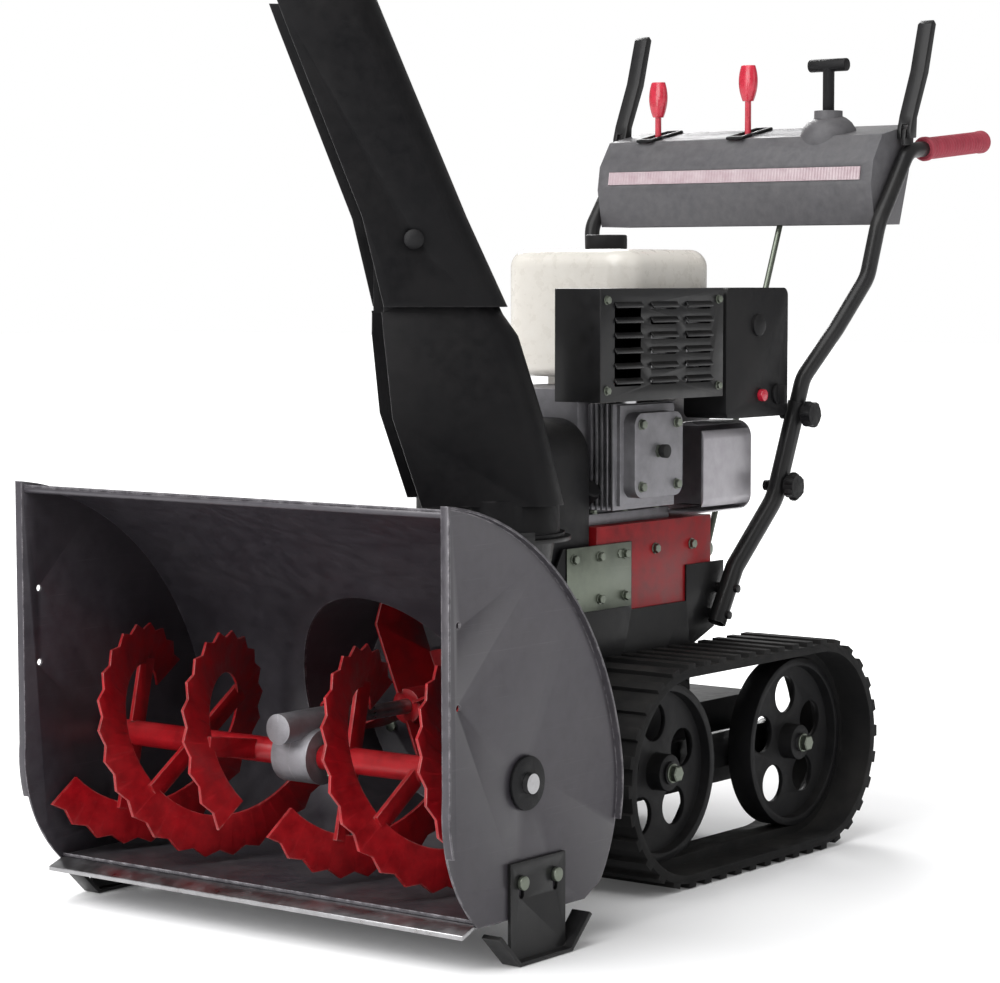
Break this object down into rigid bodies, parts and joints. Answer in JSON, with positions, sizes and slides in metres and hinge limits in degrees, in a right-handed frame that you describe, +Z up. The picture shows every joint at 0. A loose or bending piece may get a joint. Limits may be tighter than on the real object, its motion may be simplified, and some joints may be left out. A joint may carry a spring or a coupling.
{
  "type": "snow blower",
  "caption": "Walk-behind two-stage snow blower: wide auger housing, tall turning chute, engine with belt drive, rubber tracks and bent handles with a control dash.",
  "frame": {"origin": "middle of the footprint, on the ground under the skid shoes and tracks", "axes": "+Y towards the operator (the mouth of the housing faces -Y), +Z up, +X to the operator's left"},
  "size_m": [0.753, 1.5022, 1.24],
  "materials": {
    "housing_paint": "satin dark grey paint",
    "bare_steel": "bare machined steel",
    "black_paint": "black powder coat",
    "zinc_steel": "zinc-plated steel",
    "black_plastic": "matt black moulding",
    "red_paint": "deep red paint",
    "bronze": "cast bronze",
    "cast_aluminium": "as-cast aluminium",
    "belt_rubber": "matt rubber",
    "track_rubber": "black tread rubber",
    "grip_rubber": "soft red grip",
    "dash_plastic": "mid grey moulding",
    "lens": "clear lens",
    "red_plastic": "red knob",
    "chute_plastic": "black polyethylene",
    "silver_paint": "silver paint",
    "tank_plastic": "off-white moulding"
  },
  "bodies": {
    "chassis": {"auger_housing": "housing_paint", "side_plate_left": "housing_paint", "side_plate_right": "housing_paint", "scraper_bar": "bare_steel", "skid_shoes": "black_paint", "impeller_drum": "housing_paint", "chute_neck": "black_paint", "housing_bolts": "zinc_steel", "flange_bearings": "black_plastic", "belts": "belt_rubber", "belt_cover": "black_plastic", "frame_box": "black_paint", "engine_deck": "red_paint", "track_left": "track_rubber", "track_right": "track_rubber", "track_frames": "black_paint", "handle_lower": "black_paint", "handle_upper": "black_paint", "handle_knobs": "black_plastic", "hand_grips": "grip_rubber", "dash_panel": "dash_plastic", "headlight_lens": "lens", "crankcase": "cast_aluminium", "cylinder_head": "cast_aluminium", "recoil_cover": "silver_paint", "muffler_guard": "black_paint", "muffler": "bare_steel", "air_box": "black_plastic", "fuel_tank": "tank_plastic", "gearcase": "cast_aluminium"},
    "auger_rotor": {"auger_left": "red_paint", "auger_right": "red_paint", "auger_shaft": "bare_steel", "shear_pins": "zinc_steel", "worm_wheel": "bronze"},
    "impeller_rotor": {"impeller_shaft": "bare_steel", "impeller": "red_paint", "impeller_pulley": "zinc_steel"},
    "engine_rotor": {"crankshaft": "bare_steel", "engine_pulleys": "zinc_steel"},
    "drive_disc": {"drive_plate": "bare_steel"},
    "axle": {"drive_axle": "bare_steel", "drive_wheels": "black_plastic"},
    "front_wheels": {"idler_wheels": "black_plastic"},
    "hex_rotor": {"hex_shaft": "bare_steel"},
    "friction_carrier": {"friction_wheel": "belt_rubber"},
    "auger_tensioner": {"auger_idler": "zinc_steel"},
    "drive_tensioner": {"drive_idler": "zinc_steel"},
    "auger_clutch": {"auger_clutch_lever": "black_paint"},
    "drive_clutch": {"drive_clutch_lever": "black_paint"},
    "chute": {"chute_lower": "chute_plastic"},
    "deflector": {"chute_deflector": "chute_plastic"},
    "chute_knob": {"chute_handle": "black_plastic"},
    "tilt_control": {"tilt_lever": "red_plastic"},
    "shift_control": {"shift_lever": "red_plastic"},
    "shift_link": {"shift_rod": "zinc_steel"},
    "cap": {"fuel_cap": "black_plastic"},
    "starter_grip": {"recoil_handle": "black_plastic"},
    "choke": {"choke_knob": "black_plastic"},
    "primer": {"primer_button": "red_plastic"}
  },
  "joints": [
    {"name": "auger_spin", "type": "hinge", "parent": "chassis", "child": "auger_rotor", "pos_m": [0, -0.5861, 0.222], "axis": [1, 0, 0], "continuous": true},
    {"name": "impeller_spin", "type": "hinge", "parent": "chassis", "child": "impeller_rotor", "pos_m": [0, -0.3511, 0.262], "axis": [0, 1, 0], "continuous": true},
    {"name": "engine_spin", "type": "hinge", "parent": "chassis", "child": "engine_rotor", "pos_m": [0, -0.1511, 0.575], "axis": [0, 1, 0], "continuous": true},
    {"name": "drive_disc_spin", "type": "hinge", "parent": "chassis", "child": "drive_disc", "pos_m": [0, -0.0511, 0.17006], "axis": [0, 1, 0], "continuous": true},
    {"name": "axle_spin", "type": "hinge", "parent": "chassis", "child": "axle", "pos_m": [0, 0.2489, 0.157], "axis": [1, 0, 0], "continuous": true},
    {"name": "front_wheel_spin", "type": "hinge", "parent": "chassis", "child": "front_wheels", "pos_m": [0, -0.0961, 0.157], "axis": [1, 0, 0], "continuous": true},
    {"name": "hex_shaft_spin", "type": "hinge", "parent": "chassis", "child": "hex_rotor", "pos_m": [0, 0.16147, 0.17006], "axis": [1, 0, 0], "continuous": true},
    {"name": "friction_wheel_slide", "type": "slide", "parent": "hex_rotor", "child": "friction_carrier", "axis": [1, 0, 0], "range_m": [-0.034, 0.062]},
    {"name": "auger_tensioner_swing", "type": "hinge", "parent": "chassis", "child": "auger_tensioner", "pos_m": [0.104, -0.1811, 0.368], "axis": [0, 1, 0], "range_deg": [-7, 0]},
    {"name": "drive_tensioner_swing", "type": "hinge", "parent": "chassis", "child": "drive_tensioner", "pos_m": [-0.104, -0.1511, 0.368], "axis": [0, 1, 0], "range_deg": [0, 13]},
    {"name": "auger_clutch_squeeze", "type": "hinge", "parent": "chassis", "child": "auger_clutch", "pos_m": [0.265, 0.5089, 1.062], "axis": [1, 0, 0], "range_deg": [-62, 0], "stiffness_Nm_per_rad": 1.2, "springref_deg": 34.38},
    {"name": "drive_clutch_squeeze", "type": "hinge", "parent": "chassis", "child": "drive_clutch", "pos_m": [-0.265, 0.5089, 1.062], "axis": [1, 0, 0], "range_deg": [-62, 0], "stiffness_Nm_per_rad": 1.2, "springref_deg": 34.38},
    {"name": "chute_turn", "type": "hinge", "parent": "chassis", "child": "chute", "pos_m": [0.1, -0.3261, 0.5], "axis": [0, 0, 1], "range_deg": [-55, 145]},
    {"name": "deflector_tilt", "type": "hinge", "parent": "chute", "child": "deflector", "pos_m": [0.02293, -0.40317, 0.895], "axis": [0.7071, -0.7071, 0], "range_deg": [0, 60]},
    {"name": "chute_knob_turn", "type": "hinge", "parent": "chassis", "child": "chute_knob", "pos_m": [0.138, 0.4889, 1.1], "axis": [0, 0, 1], "range_deg": [-110, 290]},
    {"name": "tilt_lever_swing", "type": "hinge", "parent": "chassis", "child": "tilt_control", "pos_m": [-0.18, 0.4889, 1.008], "axis": [1, 0, 0], "range_deg": [0, 20]},
    {"name": "shift_lever_swing", "type": "hinge", "parent": "chassis", "child": "shift_control", "pos_m": [-0.009, 0.4889, 1.008], "axis": [1, 0, 0], "range_deg": [-22, 12]},
    {"name": "shift_rod_slide", "type": "slide", "parent": "chassis", "child": "shift_link", "axis": [-0.0515, 0.4494, 0.8919], "range_m": [-0.015, 0.009]},
    {"name": "fuel_cap_turn", "type": "hinge", "parent": "chassis", "child": "cap", "pos_m": [-0.015, 0.1109, 0.9], "axis": [0, 0, 1], "range_deg": [0, 90]},
    {"name": "starter_pull", "type": "slide", "parent": "chassis", "child": "starter_grip", "axis": [0, 1, 0], "range_m": [0, 0.45]},
    {"name": "choke_turn", "type": "hinge", "parent": "chassis", "child": "choke", "pos_m": [0.19, 0.2609, 0.672], "axis": [1, 0, 0], "range_deg": [0, 90]},
    {"name": "primer_press", "type": "slide", "parent": "chassis", "child": "primer", "axis": [-1, 0, 0], "range_m": [0, 0.006], "stiffness_N_per_m": 400}
  ],
  "couplings": [
    {"joint": "impeller_spin", "follows": "auger_spin", "ratio": 11},
    {"joint": "hex_shaft_spin", "follows": "axle_spin", "ratio": -1.5882},
    {"joint": "front_wheel_spin", "follows": "axle_spin", "ratio": 1},
    {"joint": "friction_wheel_slide", "follows": "shift_lever_swing", "m_per_rad": -0.16},
    {"joint": "shift_rod_slide", "follows": "shift_lever_swing", "m_per_rad": 0.038},
    {"joint": "auger_tensioner_swing", "follows": "auger_clutch_squeeze", "ratio": 0.11},
    {"joint": "drive_tensioner_swing", "follows": "drive_clutch_squeeze", "ratio": -0.2},
    {"joint": "chute_knob_turn", "follows": "chute_turn", "ratio": 2},
    {"joint": "tilt_lever_swing", "follows": "deflector_tilt", "ratio": 0.333}
  ]
}
